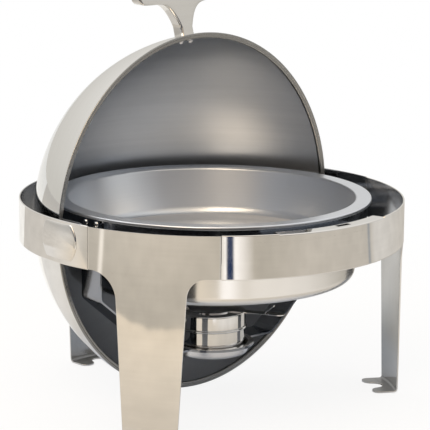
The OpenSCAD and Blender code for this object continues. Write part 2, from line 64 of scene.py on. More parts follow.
SIDES = ((-1, "left"), (1, "right"))


# Shapes: outlines are [x, y] rows, corners [x, y, bend radius], a part is points, faces and finish numbers

def bent(corners, steps=10, near=0.3):
    """Straight runs joined by arcs: each corner with a radius becomes an arc tangent to its two runs.
    Every run gets a point close to each of its ends, which keeps its flat faces flat in the shading."""
    at = [np.array(corner[:2], float) for corner in corners]
    path = [at[0]]
    for k in range(1, len(at) - 1):
        radius = corners[k][2] if len(corners[k]) > 2 else 0
        if radius <= 0:
            path.append(at[k])
            continue
        back = (at[k - 1] - at[k]) / np.linalg.norm(at[k - 1] - at[k])
        ahead = (at[k + 1] - at[k]) / np.linalg.norm(at[k + 1] - at[k])
        half = np.arccos(np.clip(back @ ahead, -1, 1)) / 2
        middle = at[k] + (back + ahead) / np.linalg.norm(back + ahead) * radius / np.sin(half)
        first = at[k] + back * radius / np.tan(half) - middle
        last = at[k] + ahead * radius / np.tan(half) - middle
        start = np.arctan2(first[1], first[0])
        turn = (np.arctan2(last[1], last[0]) - start + 3 * np.pi) % (2 * np.pi) - np.pi
        angle = start + turn * np.linspace(0, 1, steps + 1)
        path += list(middle + radius * np.stack([np.cos(angle), np.sin(angle)], 1))
    path.append(at[-1])
    outline = []
    for here, there in zip(path[:-1], path[1:]):
        outline.append(here)
        run = there - here
        gap = np.linalg.norm(run)
        if gap > 4 * near:
            outline += [here + run * near / gap, there - run * near / gap]
    outline.append(path[-1])
    return np.array(outline)


def beside(path, thick):
    """The path moved to its left, mitred: each point goes along the sum of its two runs' normals."""
    run = np.diff(path, axis=0)
    run /= np.linalg.norm(run, axis=1, keepdims=True)
    normal = np.stack([-run[:, 1], run[:, 0]], 1)
    both = np.vstack([normal[:1], normal]) + np.vstack([normal, normal[-1:]])
    return path + 2 * thick * both / (both * both).sum(1, keepdims=True)


def strip(path, thick, round_start=True, round_end=True):
    """Closed outline of a sheet on the left of a path, with half-round edges."""
    other = beside(path, thick)
    ends = []
    for k, before, wanted in ((-1, -2, round_end), (0, 1, round_start)):
        along = path[k] - path[before]
        along = along / np.linalg.norm(along)
        middle, across = (path[k] + other[k]) / 2, (other[k] - path[k]) / 2
        if k == 0:
            across = -across
        angle = np.linspace(0, np.pi, 7)[1:-1, None]
        cap = middle - across * np.cos(angle) + along * abs(thick) / 2 * np.sin(angle)
        ends.append(cap if wanted else np.zeros((0, 2)))
    return np.vstack([path, ends[0], other[::-1], ends[1]])


def grid_faces(rows, cols, wrap_rows=False, wrap_cols=False):
    """Quads of a rows by cols grid of points, closed in either direction where it wraps."""
    i = np.arange(rows if wrap_rows else rows - 1)
    j = np.arange(cols if wrap_cols else cols - 1)
    i, j = (grid.ravel() for grid in np.meshgrid(i, j, indexing="ij"))
    i2, j2 = (i + 1) % rows, (j + 1) % cols
    return np.stack([i * cols + j, i2 * cols + j, i2 * cols + j2, i * cols + j2], 1)


def loft(loops, wrap=False, finish=0):
    """Skin over a stack of closed loops of equal count; open stacks are closed by a flat face at each end.
    The finish is one number, or one for each column, or one for each row and column."""
    loops = np.asarray(loops, float)
    rows, cols = loops.shape[:2]
    faces = grid_faces(rows, cols, wrap, True).tolist()
    if not wrap:
        faces += [list(range(cols))[::-1], list(range((rows - 1) * cols, rows * cols))]
    marks = np.broadcast_to(finish, (rows if wrap else rows - 1, cols))
    index = marks.ravel().tolist()
    index += [int(marks[0, 0])] * (len(faces) - len(index))
    return loops.reshape(-1, 3), faces, index


def turned(outline, start=0.0, stop=360.0, steps=224, finish=0):
    """A closed (r, z) outline carried round the vertical, angles counted from the front (-Y) towards +X."""
    whole = abs(stop - start) >= 360
    angle = np.radians(np.linspace(start, stop, steps + 1)[: steps if whole else None])[:, None]
    r, z = outline[None, :, 0], outline[None, :, 1]
    return loft(np.stack([r * np.sin(angle), -r * np.cos(angle), z + 0 * angle], -1), whole, finish)


def along_x(part, sign=1.0, y=0.0, z=0.0):
    """A part turned about the vertical laid over, so that its axis runs out along X."""
    points, faces, index = part
    return np.stack([sign * points[:, 2], points[:, 0] + y, points[:, 1] + z], 1), faces, index


def along_y(part, y=0.0, z=0.0):
    """A part turned about the vertical laid over, so that its axis runs back along Y."""
    points, faces, index = part
    return np.stack([points[:, 0], points[:, 2] + y, -points[:, 1] + z], 1), faces, index


def leaned(part, tilt, y, z):
    """A part stood on the dome: tilted back about X by tilt degrees, then moved to (y, z)."""
    points, faces, index = part
    cos, sin = np.cos(np.radians(tilt)), np.sin(np.radians(tilt))
    back = points[:, 1] * cos + points[:, 2] * sin + y
    up = -points[:, 1] * sin + points[:, 2] * cos + z
    return np.stack([points[:, 0], back, up], 1), faces, index


def spun(part, degrees):
    """A part turned about the vertical by an angle, front towards +X."""
    points, faces, index = part
    cos, sin = np.cos(np.radians(degrees)), np.sin(np.radians(degrees))
    across = points[:, 0] * cos - points[:, 1] * sin
    back = points[:, 0] * sin + points[:, 1] * cos
    return np.stack([across, back, points[:, 2]], 1), faces, index


def moved(part, x=0.0, y=0.0):
    """A part moved level."""
    points, faces, index = part
    return points + [x, y, 0], faces, index


def piece(name, parts, body, finishes, replaces=(), sharp=38.0):
    """One object from its parts: points in millimetres become a mesh in metres, doubles are merged,
    faces turned outwards, and edges steeper than the given angle stay sharp."""
    all_points, all_faces, all_index, base = [], [], [], 0
    for points, faces, index in parts:
        all_points.append(points)
        all_faces += [[corner + base for corner in face] for face in faces]
        all_index += index
        base += len(points)
    mesh = bpy.data.meshes.new(name)
    mesh.from_pydata((np.vstack(all_points) * MM).tolist(), [], all_faces)
    mesh.polygons.foreach_set("material_index", all_index)
    for finish in finishes:
        mesh.materials.append(finish)
    work = bmesh.new()
    work.from_mesh(mesh)
    bmesh.ops.remove_doubles(work, verts=work.verts, dist=2e-6)
    bmesh.ops.dissolve_degenerate(work, edges=work.edges, dist=1e-7)
    bmesh.ops.recalc_face_normals(work, faces=work.faces)
    work.to_mesh(mesh)
    work.free()
    mesh.polygons.foreach_set("use_smooth", np.ones(len(mesh.polygons), bool))
    mesh.set_sharp_from_angle(angle=np.radians(sharp))
    obj = bpy.data.objects.new(name, mesh)
    bpy.context.scene.collection.objects.link(obj)
    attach(obj, body)
    if replaces:
        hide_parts(*replaces)
    return obj


# Finishes

class Nodes:
    """Short hand for building a node tree: add a node, set its inputs, link it on."""

    def __init__(self, tree):
        self.tree = tree
        tree.nodes.clear()

    def add(self, kind, inputs=None, **settings):
        """A node of a kind, with its settings, and its inputs set or linked."""
        node = self.tree.nodes.new(kind)
        for key, value in settings.items():
            setattr(node, key, value)
        for key, value in (inputs or {}).items():
            if isinstance(value, bpy.types.NodeSocket):
                self.tree.links.new(value, node.inputs[key])
            else:
                node.inputs[key].default_value = value
        return node

    def math(self, operation, first, second=0.0):
        """A sum, product or other operation on two numbers."""
        return self.add("ShaderNodeMath", {0: first, 1: second}, operation=operation).outputs[0]

    def vector(self, operation, first, second):
        """A vector made from two vectors."""
        return self.add("ShaderNodeVectorMath", {0: first, 1: second}, operation=operation).outputs[0]

    def length(self, vector):
        """The length of a vector."""
        return self.add("ShaderNodeVectorMath", {0: vector}, operation="LENGTH").outputs["Value"]

    def dot(self, first, second):
        """How far the first vector reaches along the second."""
        node = self.add("ShaderNodeVectorMath", {0: first, 1: second}, operation="DOT_PRODUCT")
        return node.outputs["Value"]

    def spread(self, value, low, high, to_low=0.0, to_high=1.0):
        """A value's range low to high spread over another range, and held at its ends."""
        return self.add("ShaderNodeMapRange", {"Value": value, "From Min": low, "From Max": high,
                                               "To Min": to_low, "To Max": to_high}).outputs[0]

    def noise(self, vector, scale, detail=3.0, rough=0.5):
        """Soft noise from 0 to 1."""
        return self.add("ShaderNodeTexNoise", {"Vector": vector, "Scale": scale, "Detail": detail,
                                               "Roughness": rough}).outputs["Fac"]

    def tint(self, value, dark, light, low=0.35, high=0.65):
        """A colour between two, by where a value lies from low to high."""
        ramp = self.add("ShaderNodeValToRGB", {"Fac": value})
        first, last = ramp.color_ramp.elements
        first.position, last.position = low, high
        first.color, last.color = (*dark, 1), (*light, 1)
        return ramp.outputs["Color"]

    def mix(self, share, first, second):
        """A colour that goes from the first to the second by a share."""
        return self.add("ShaderNodeMix", {"Factor": share, 6: first, 7: second}, data_type="RGBA").outputs[2]


PATCH_SCALE, SPECK_SCALE, WAVE_SCALE = 9.0, 420.0, 5.5


def steel(name, light, dark, rough, grain, depth, smudge=0.06, wave=0.0, centre=None, stretch=(1, 1, 1),
          vary=0.18, metal=1.0):
    """Stainless steel. Grain: noise drawn out along the polishing direction, or read along the radius from a
    centre line (axis name, x, y, z) where the piece was polished on a wheel. Smudges lift the roughness in
    soft patches, vary is how far the grain changes the roughness, and wave is the slow waviness of thin
    polished sheet."""
    material = bpy.data.materials.new(name)
    material.use_nodes = True
    tree = Nodes(material.node_tree)
    place = tree.add("ShaderNodeTexCoord").outputs["Object"]
    if centre:
        axis, *at = centre
        keep = {"x": (0, 1, 1), "y": (1, 0, 1), "z": (1, 1, 0)}[axis]
        off = tree.vector("SUBTRACT", place, at)
        radius = tree.length(tree.vector("MULTIPLY", off, keep))
        run = tree.dot(off, [1 - share for share in keep])
        lines = tree.add("ShaderNodeCombineXYZ", {0: radius, 1: run, 2: 0.0}).outputs[0]
    else:
        lines = tree.vector("MULTIPLY", place, stretch)
    fine = tree.noise(lines, grain, 4.0, 0.6)
    patch = tree.noise(place, PATCH_SCALE, 5.0, 0.62)
    speck = tree.noise(place, SPECK_SCALE, 2.0, 0.5)
    mottle = tree.math("ADD", tree.math("MULTIPLY", fine, 0.6), tree.math("MULTIPLY", patch, 0.4))
    colour = tree.tint(mottle, dark, light)
    gloss = tree.math("ADD", tree.spread(fine, 0.25, 0.75, rough * (1 - vary), rough * (1 + vary)),
                      tree.spread(patch, 0.5, 0.72, 0.0, smudge))
    gloss = tree.math("ADD", gloss, tree.spread(speck, 0.68, 0.8, 0.0, smudge * 0.5))
    height = tree.math("ADD", tree.math("MULTIPLY", fine, depth),
                       tree.math("MULTIPLY", tree.noise(place, WAVE_SCALE, 1.0, 0.4), wave))
    bump = tree.add("ShaderNodeBump", {"Height": height, "Strength": 1.0, "Distance": 0.001}).outputs[0]
    shader = tree.add("ShaderNodeBsdfPrincipled", {"Base Color": colour, "Metallic": metal,
                                                   "Roughness": gloss, "Normal": bump})
    tree.add("ShaderNodeOutputMaterial", {"Surface": shader.outputs[0]})
    return material


LID_AXIS = ("y", 0.0, 0.0, AXIS_Z * MM)
UPRIGHT = ("z", 0.0, 0.0, 0.0)
MIRROR = steel("polished_sheet", (0.86, 0.845, 0.82), (0.82, 0.805, 0.78), rough=0.05, grain=240.0,
               depth=0.0022, smudge=0.035, wave=0.16, stretch=(0.05, 0.05, 1.0))
DOME_OUT = steel("polished_dome", (0.87, 0.86, 0.835), (0.83, 0.82, 0.795), rough=0.05, grain=240.0,
                 depth=0.0015, smudge=0.035, wave=0.05, centre=LID_AXIS)
# satin inside of the lid, also on its ears: its colour darkened and blued as painted cool shade
DOME_IN_SHADED = steel("satin_dome_painted_shade", (0.56, 0.592, 0.642), (0.51, 0.542, 0.592), rough=0.325, grain=150.0,
                depth=0.0015, smudge=0.03, wave=0.02, stretch=(0.03, 0.03, 1.0), vary=0.06, metal=0.88)
RIM = steel("rolled_rim", (0.38, 0.378, 0.37), (0.33, 0.328, 0.32), rough=0.26, grain=500.0,
            depth=0.002, smudge=0.05, wave=0.02, centre=LID_AXIS)
PAN = steel("satin_pan", (0.725, 0.765, 0.825), (0.705, 0.745, 0.805), rough=0.29, grain=420.0,
            depth=0.0005, smudge=0.03, wave=0.02, centre=UPRIGHT, vary=0.04, metal=0.88)
# a lighter, less metallic copy of the pan's satin steel for its floor and fillet: painted light
PAN_FLOOR_LIT = steel("satin_pan_floor_painted_light", (0.86, 0.875, 0.90), (0.84, 0.855, 0.88), rough=0.33, grain=420.0,
                  depth=0.0005, smudge=0.03, wave=0.02, centre=UPRIGHT, vary=0.04, metal=0.64)
# mill finish of the bands' inner faces, cut edges and the legs' inner heads, its colour darkened and blued as
# painted cool shade
MILL_AND_SHADE = steel("mill_finish_and_painted_shade", (0.34, 0.355, 0.38), (0.27, 0.285, 0.31), rough=0.16, grain=300.0,
             depth=0.004, smudge=0.06, wave=0.10, stretch=(0.06, 0.06, 1.0))
# inner faces of the legs and their feet: a rougher finish whose darker colour is also painted shade
LEG_IN_SHADED = steel("satin_leg_painted_shade", (0.49, 0.488, 0.482), (0.42, 0.418, 0.412), rough=0.16, grain=300.0,
               depth=0.004, smudge=0.06, wave=0.10, stretch=(1.0, 1.0, 0.06))
FOOT_IN_SHADED = steel("mill_foot_painted_shade", (0.30, 0.302, 0.306), (0.26, 0.262, 0.266), rough=0.36, grain=300.0,
                depth=0.004, smudge=0.06, wave=0.10)
REST_TOP = steel("worn_rest", (0.80, 0.79, 0.77), (0.74, 0.73, 0.71), rough=0.22, grain=300.0,
                 depth=0.003, smudge=0.05, wave=0.10, stretch=(0.06, 0.06, 1.0))
PAN_OUT = steel("satin_water_pan", (0.94, 0.93, 0.91), (0.90, 0.89, 0.87), rough=0.18, grain=500.0,
                depth=0.003, smudge=0.05, wave=0.03, centre=UPRIGHT)
# mill finish of the collar below the pans, its colour darkened and blued as painted cool shade
COLLAR_SHADED = steel("mill_collar_painted_shade", (0.36, 0.385, 0.43), (0.31, 0.335, 0.38), rough=0.17, grain=420.0,
               depth=0.004, smudge=0.06, wave=0.08, stretch=(0.08, 0.08, 1.0))
# brushed burner hanger, its colour darkened and blued as painted cool shade
STRAP_SHADED = steel("brushed_strap_painted_shade", (0.36, 0.385, 0.435), (0.30, 0.325, 0.375), rough=0.14, grain=420.0,
              depth=0.004, smudge=0.05, wave=0.05, stretch=(1.0, 0.06, 0.06))
CAN = steel("polished_can", (0.88, 0.88, 0.88), (0.83, 0.83, 0.83), rough=0.05, grain=420.0,
            depth=0.004, smudge=0.04, wave=0.03, centre=UPRIGHT)
TRAY = steel("satin_tray", (0.92, 0.915, 0.91), (0.86, 0.855, 0.85), rough=0.24, grain=520.0,
             depth=0.003, smudge=0.05, wave=0.02, centre=UPRIGHT)
CAST = steel("polished_casting", (0.72, 0.70, 0.665), (0.68, 0.66, 0.625), rough=0.09, grain=160.0,
             depth=0.006, smudge=0.05, wave=0.14, stretch=(0.10, 1.0, 1.0))
HARD = steel("turned_hardware", (0.76, 0.76, 0.76), (0.66, 0.66, 0.67), rough=0.18, grain=900.0,
             depth=0.003, smudge=0.05, wave=0.0)

# Ring bands

FOLD_Z, FOLD_BEND = RING_TOP - 2 * REST_BEND, 1.6
SLOT_R, SLOT_W, SLOT_HALF = RING_R - REST_BEND - 7.0, 7.0, 2.7
STEPS_PER_DEGREE = 1.2
BAND = bent([[RING_R, RING_LOW], [RING_R, RING_TOP]])
BAND_LOW = bent([[RING_R, RING_LOW], [RING_R, FOLD_Z - 0.02]])
BAND_TOP = bent([[RING_R, FOLD_Z], [RING_R, RING_TOP]])
FOLD = [[RING_R, FOLD_Z], [RING_R, RING_TOP, FOLD_BEND]]
STEP = [[REST_R, RING_TOP, REST_BEND], [REST_R, RING_TOP - REST_STEP, REST_BEND],
        [COLLAR_R + 0.2, RING_TOP - REST_STEP]]
REST = bent([*FOLD, *STEP])
SLOT_OUT = bent([*FOLD, [SLOT_R + SLOT_W / 2, RING_TOP]])
SLOT_IN = bent([[SLOT_R - SLOT_W / 2, RING_TOP], *STEP])


def band(outline, start, stop, round_start=True, round_end=True):
    """A sheet outline carried round the ring between two angles: polished outside, mill finish with painted
    shade on the face towards the pans and on square cut edges, painted shade alone on the step below the lid
    rest, a worn finish on the rest."""
    closed = strip(outline, SHEET, round_start, round_end)
    finish = np.zeros(len(closed), int)
    finish[len(outline) + (3 if round_end else -1):] = 1
    if round_start:
        finish[-3:] = 0
    finish[(closed[:, 0] < RING_IN - 0.5) & (closed[:, 1] > RING_TOP - 0.3)] = 2
    # the step below the lid rest takes the dark mill colour as painted shade
    finish[(closed[:, 0] < REST_R + 1) & (closed[:, 1] < RING_TOP - 0.5)] = 1
    return turned(closed, start, stop, max(4, int(abs(stop - start) * STEPS_PER_DEGREE)), finish)


SEAM_DEG = np.degrees(2 * SEAM / RING_R)
front_end = 60 - HEAD_HALF - SEAM_DEG
rest_from, rest_to, relief = REST_TURN - REST_HALF, REST_TURN + REST_HALF, 0.02 * SEAM_DEG
piece("ring_front", [band(BAND_LOW, -front_end, front_end, True, False),
                     band(BAND_TOP, -front_end, rest_from - relief, False),
                     band(BAND_TOP, rest_to + relief, front_end, False),
                     band(REST, rest_from, -SLOT_HALF, False),
                     band(REST, SLOT_HALF, rest_to, False),
                     band(SLOT_OUT, -SLOT_HALF, SLOT_HALF, False),
                     band(SLOT_IN, -SLOT_HALF, SLOT_HALF, False)],
      "frame", [MIRROR, MILL_AND_SHADE, REST_TOP], ["band_front"])
rear_from, rear_to = 60 + HEAD_HALF + SEAM_DEG, 180 - HEAD_HALF - SEAM_DEG
piece("ring_rear_right", [band(BAND, rear_from, rear_to)],
      "frame", [MIRROR, MILL_AND_SHADE], ["band_rear_right"])
piece("ring_rear_left", [band(BAND, -rear_to, -rear_from + SEAM_DEG / 2)],
      "frame", [MIRROR, MILL_AND_SHADE], ["band_rear_left"])

# Legs: T head, fillets, tapering shank, fold and forked foot in one rolled sheet

LEG_TOP, LEG_FOOT, FOOT_LEN, FOOT_BEND = 46.0, 34.0, 32.0, 5.0
# seen from outside; the solids have the smaller fillet on both sides
FILLET_LEFT, FILLET_RIGHT = 34.0, 24.0
NOTCH_W, NOTCH_D = 25.0, 19.0
LEG_COLS, PRONG_COLS, EDGE_STEPS = 36, 10, 5
# finishes: polished outside; mill, leg inside and foot, each darkened with painted shade
LEG_FINISHES = [MIRROR, MILL_AND_SHADE, LEG_IN_SHADED, FOOT_IN_SHADED]


def sheet_loops(path, normal, low, high, edge=0.5, cols=LEG_COLS):
    """Closed loops across a rolled sheet: for each path point (r, z) with its outward normal the sheet runs
    from u = low to u = high; outer face, rounded edge, inner face, rounded edge. A point (u, r) stands at
    x = u, y = -sqrt(r^2 - u^2)."""
    quarter = np.linspace(0, np.pi / 2, EDGE_STEPS)
    share = np.linspace(0, 1, cols)
    share = np.concatenate([[0, 0.004], share[1:-1], [0.996, 1]])
    width = (high - low)[:, None]
    edge = np.minimum(edge, 0.24 * width)
    face = low[:, None] + edge + (width - 2 * edge) * share
    right = high[:, None] - edge + edge * np.sin(quarter)
    left = low[:, None] + edge - edge * np.sin(quarter)
    u = np.concatenate([face, right[:, 1:], right[:, ::-1], face[:, ::-1][:, 1:], left[:, 1:],
                        left[:, ::-1][:, :-1]], 1)
    outer, inner = np.zeros_like(face), np.full_like(face, SHEET)
    edge_out, edge_in = edge * (1 - np.cos(quarter)), SHEET - edge * (1 - np.cos(quarter))
    depth = np.concatenate([outer, edge_out[:, 1:], edge_in[:, ::-1], inner[:, 1:], edge_in[:, 1:],
                            edge_out[:, ::-1][:, :-1]], 1)
    r = path[:, :1] - normal[:, :1] * depth
    z = path[:, 1:] - normal[:, 1:] * depth
    return np.stack([u, -np.sqrt(r * r - u * u), z], -1)


def shaded_inner_side(cols, inner_finish):
    """Finish of each column of sheet_loops: the inner face gets the given finish, rougher and darkened with
    painted shade, the rest is polished.
    """
    face = cols + 2
    finish = np.zeros(2 * face + 4 * (EDGE_STEPS - 1), int)
    finish[face + EDGE_STEPS + 1:2 * face + 2 * EDGE_STEPS - 1] = inner_finish
    return finish


def leg_edge(z, fillet):
    """Half width of a leg below its head at the heights z: a straight taper, then the fillet's circle, whose
    centre lies one fillet radius below the head and beside the taper."""
    slant = (LEG_TOP - LEG_FOOT) / RING_LOW
    tilt = np.arctan(slant)
    centre_z = RING_LOW - fillet
    centre_x = LEG_FOOT + slant * centre_z + fillet / np.cos(tilt)
    rise = np.clip((z - centre_z) / fillet, 0, 1)
    on_circle = centre_x - fillet * np.sqrt(1 - rise ** 2)
    return np.where(z > centre_z + fillet * np.sin(tilt), on_circle, LEG_FOOT + slant * z)


def prongs(notch):
    """The foot's two prongs: the inner edge follows the notch's half circle, the tip is rounded."""
    half_notch, prong = NOTCH_W / 2, LEG_FOOT - NOTCH_W / 2
    tip = prong / 2 - 0.5
    quarter = np.linspace(0, np.pi / 2, 14)
    out = np.concatenate([half_notch * (1 - np.cos(quarter)), NOTCH_D - tip + tip * np.sin(0.985 * quarter)])
    out = np.unique(out.round(2))
    bow = np.sqrt(np.clip(half_notch ** 2 - (half_notch - out) ** 2, 0, None))
    inner = np.where(out < half_notch, bow, half_notch)
    fall = tip - np.sqrt(np.clip(tip * tip - (out - NOTCH_D + tip) ** 2, 0, None))
    rounding = np.where(out > NOTCH_D - tip, fall, 0.0)
    path = np.stack([notch - out, 0 * out], 1)
    down = np.tile([0.0, -1.0], (len(out), 1))
    low, high = inner + rounding, LEG_FOOT - rounding
    return [loft(sheet_loops(path, down, first, last, 0.4, PRONG_COLS), finish=shaded_inner_side(PRONG_COLS, 3))
            for first, last in ((low, high), (-high, -low))]


def leg(turn):
    """T-headed leg: a head as wide as its seams allow, fillets, a straight taper, a fold, a forked foot."""
    top = np.concatenate([[RING_TOP, RING_TOP - 0.4], np.linspace(RING_TOP - 2, RING_LOW + 0.4, 14),
                          [RING_LOW]])
    arc = RING_LOW - FILLET_LEFT * (1 - np.sin(np.linspace(np.pi / 2, np.pi, 20))) - 0.02
    shank = np.concatenate([arc, np.linspace(arc[-1] - 3, FOOT_BEND + 0.3, 38)])
    fold = np.linspace(0, np.pi / 2, 10)
    notch = RING_R - FOOT_LEN + NOTCH_D
    plate = np.linspace(RING_R - FOOT_BEND - 0.3, notch, 5)
    upright = np.concatenate([top, shank])
    fold_r, fold_z = RING_R - FOOT_BEND * (1 - np.cos(fold)), FOOT_BEND * (1 - np.sin(fold))
    path = np.concatenate([np.stack([np.full_like(upright, RING_R), upright], 1),
                           np.stack([fold_r, fold_z], 1),
                           np.stack([plate, 0 * plate], 1)])
    normal = np.concatenate([np.tile([1.0, 0.0], (len(upright), 1)),
                             np.stack([np.cos(fold), -np.sin(fold)], 1),
                             np.tile([0.0, -1.0], (len(plate), 1))])
    head = np.full(len(top), RING_R * np.sin(np.radians(HEAD_HALF)))
    foot = np.full(len(fold) + len(plate), LEG_FOOT)
    left = np.concatenate([head, leg_edge(shank, FILLET_LEFT), foot])
    right = np.concatenate([head, leg_edge(shank, FILLET_RIGHT), foot])
    rows = sheet_loops(path, normal, -left, right)
    below = np.tile(shaded_inner_side(LEG_COLS, 2), (len(rows) - len(top) - 1, 1))
    below[1 - len(foot):] = shaded_inner_side(LEG_COLS, 3)
    parts = [loft(rows[:len(top)], finish=shaded_inner_side(LEG_COLS, 1)), loft(rows[len(top):], finish=below)]
    return [spun(part, turn) for part in parts + prongs(notch)]


for name, turn in (("leg_front_left", -60), ("leg_front_right", 60), ("leg_rear", 180)):
    piece(name + "_sheet", leg(turn), "frame", LEG_FINISHES, [name])

# Collar and pans

collar_top = WATER_TOP - 1
collar = bent([[COLLAR_R, collar_top - COLLAR_H], [COLLAR_R, collar_top]])
piece("collar_ring", [turned(strip(collar, COLLAR_T))], "frame", [COLLAR_SHADED], ["pan_collar"])
food_floor = FOOD_TOP - FOOD_DEPTH
food = bent([[FOOD_R, FOOD_TOP - 4], [FOOD_R, FOOD_TOP, 1.8], [FOOD_MOUTH, FOOD_TOP, 4],
             [FOOD_BASE, food_floor, 18], [0, food_floor]], 14)
food_outline = strip(food, PAN_T, round_end=False)
# the pan floor and most of its fillet take the lighter copy, painted light
floor_painted_light = (food_outline[:, 0] < FOOD_BASE - 1).astype(int)
piece("food_pan_sheet", [turned(food_outline, finish=floor_painted_light)],
      "food_pan", [PAN, PAN_FLOOR_LIT], ["food_pan"])
water = bent([[WATER_R, WATER_TOP], [WATER_MOUTH, WATER_TOP, 4], [WATER_BASE, WATER_FLOOR, 12],
              [0, WATER_FLOOR]], 14)
piece("water_pan_sheet", [turned(strip(water, PAN_T, round_end=False))],
      "frame", [PAN_OUT], ["water_pan"])

# Lid

GROOVE_FROM, GROOVE_TO, GROOVE_D = RIM_R - 2.8, RIM_R - 3.4, 0.6
arc = np.linspace(0, np.arcsin(RIM_R / LID_R), 90)
shell = np.stack([LID_R * np.sin(arc), LID_R * np.cos(arc) + LID_DEPTH - LID_R], 1)
rim = bent([shell[-2], [RIM_R, 0, 1.0], [GROOVE_FROM, 0, 0.6], [GROOVE_TO, GROOVE_D, 0.6],
            [RIM_R - RIM_FLANGE, GROOVE_D, 1.4], [RIM_R - RIM_FLANGE, RIM_LIP]], 6)
lid_outline = strip(np.vstack([shell[:-2], rim]), -LID_T, round_start=False)
# the outline runs out over the dome, round the rim and back along the inside
lid_finish = np.zeros(len(lid_outline), int)
# the inside of the dome carries painted cool shade in its satin colour
lid_finish[len(shell) + 1:] = 1
lid_finish[len(shell) + 1:len(lid_outline) - len(shell) - 6] = 2
piece("lid_dome", [along_y(turned(lid_outline, steps=256, finish=lid_finish), RIM_Y, AXIS_Z)],
      "lid", [DOME_OUT, DOME_IN_SHADED, RIM], ["lid_shell"])

STEM, FLARE, FLARE_POWER, BAR_HALF = 10.25, 45.25, 4.3, 70.0
BAR_RISE, BAR_UNDER, BAR_TOP, BAR_THICK, BAR_EDGE = 12.0, 44.0, 65.0, 9.0, 3.4


def rounded_slice(wide, thick, radius, straight=9, corner=6):
    """Rectangle of half sizes wide and thick with rounded corners, as one closed loop of equal count."""
    quarter = np.linspace(0, np.pi / 2, corner)
    share = np.linspace(-1, 1, straight)[1:-1]
    radius = min(radius, 0.98 * wide, 0.98 * thick)
    x, y = wide - radius, thick - radius
    right = [x, y] + radius * np.stack([np.cos(quarter), np.sin(quarter)], 1)
    left = [-x, y] + radius * np.stack([-np.sin(quarter), np.cos(quarter)], 1)
    top = np.vstack([right, np.stack([-share * x, np.full_like(share, thick)], 1), left])
    return np.vstack([top, -top])


def handle():
    """Cast T handle as a stack of rounded slices: the half width follows stem, power-curve flare, bar end and
    crown; the half thickness closes on a half circle along the bar's top. The slices under the bar slope down
    to the front."""
    share = np.linspace(0, 1, 36) ** 0.9
    end = bent([[STEM + FLARE, BAR_UNDER], [BAR_HALF, BAR_UNDER + 0.5, 7], [BAR_HALF, BAR_TOP - 1.5, 8],
                [BAR_HALF - 26, BAR_TOP - 0.4]], 10)
    wide = np.concatenate([[STEM + 0.8, STEM + 0.2, STEM, STEM], STEM + FLARE * share, end[1:, 0]])
    flare_z = BAR_RISE + (BAR_UNDER - BAR_RISE) * (1 - (1 - share) ** FLARE_POWER)
    z = np.concatenate([[-0.6, 0.6, 3.0, BAR_RISE - 1.0], flare_z, end[1:, 1]])
    z = np.maximum.accumulate(z + np.arange(len(z)) * 1e-4)
    crown = BAR_TOP - BAR_THICK
    thick = np.where(z > crown, np.sqrt(np.clip(BAR_THICK ** 2 - (z - crown) ** 2, 0.3, None)), BAR_THICK)
    slope = 0.3 * np.clip((z - 3) / 10, 0, 1) * np.clip((BAR_UNDER + 13 - z) / 10, 0, 1)
    flat = np.array([rounded_slice(*half, BAR_EDGE) for half in zip(wide, thick)])
    up = LID_R + z[:, None] + slope[:, None] * flat[:, :, 1]
    return leaned(loft(np.dstack([flat, up])), HANDLE_TILT, LID_Y, AXIS_Z)


piece("handle_casting", [handle()], "lid", [CAST], ["lid_handle"], 50)

# Pivot caps

CAP_R, CAP_HALF, CAP_RISE, CAP_TURN = 33.0, 22.5, 3.0, 2.1


def pivot_cap(side):
    """Disc cut straight above and below, domed in front and hollowed to the band behind: one outline shrunk
    towards its middle, in loops from the middle of the back over the rounded edge to the front's middle."""
    lean = np.arcsin(CAP_HALF / CAP_R)
    arc = np.linspace(-lean, lean, 33)
    top = np.linspace(1, -1, 33)[1:-1] * CAP_R * np.cos(lean)
    half = np.vstack([np.stack([np.cos(arc), np.sin(arc)], 1) * CAP_R,
                      np.stack([top, np.full_like(top, CAP_HALF)], 1)])
    outline = np.vstack([half, -half])
    u, v = outline[None, :, 0], outline[None, :, 1]
    back = np.array([0.02, 0.35, 0.7, 1.0])[:, None]
    front = np.array([1.0, 0.996, 0.988, 0.975, 0.9, 0.75, 0.5, 0.25, 0.02])[:, None]
    cut = np.array([0.6, 0.3, 0.08, 0, 0, 0, 0, 0, 0])[:, None]
    drop = 1.5 + CAP_R ** 2 / (2 * RING_R)
    x = np.vstack([np.sqrt((RING_R - 1.15) ** 2 - (back * u) ** 2),
                   RING_R + CAP_RISE - cut - drop * front ** 2 * (u ** 2 + v ** 2) / CAP_R ** 2])
    scale = np.vstack([back, front])
    points, faces, index = spun(loft(np.stack([x, scale * u, AXIS_Z + scale * v], -1)), CAP_TURN)
    return points * [side, 1, 1], faces, index


for side, name in SIDES:
    piece("pivot_disc_" + name, [pivot_cap(side)], "frame", [MIRROR], ["pivot_cap_" + name])

# Burner

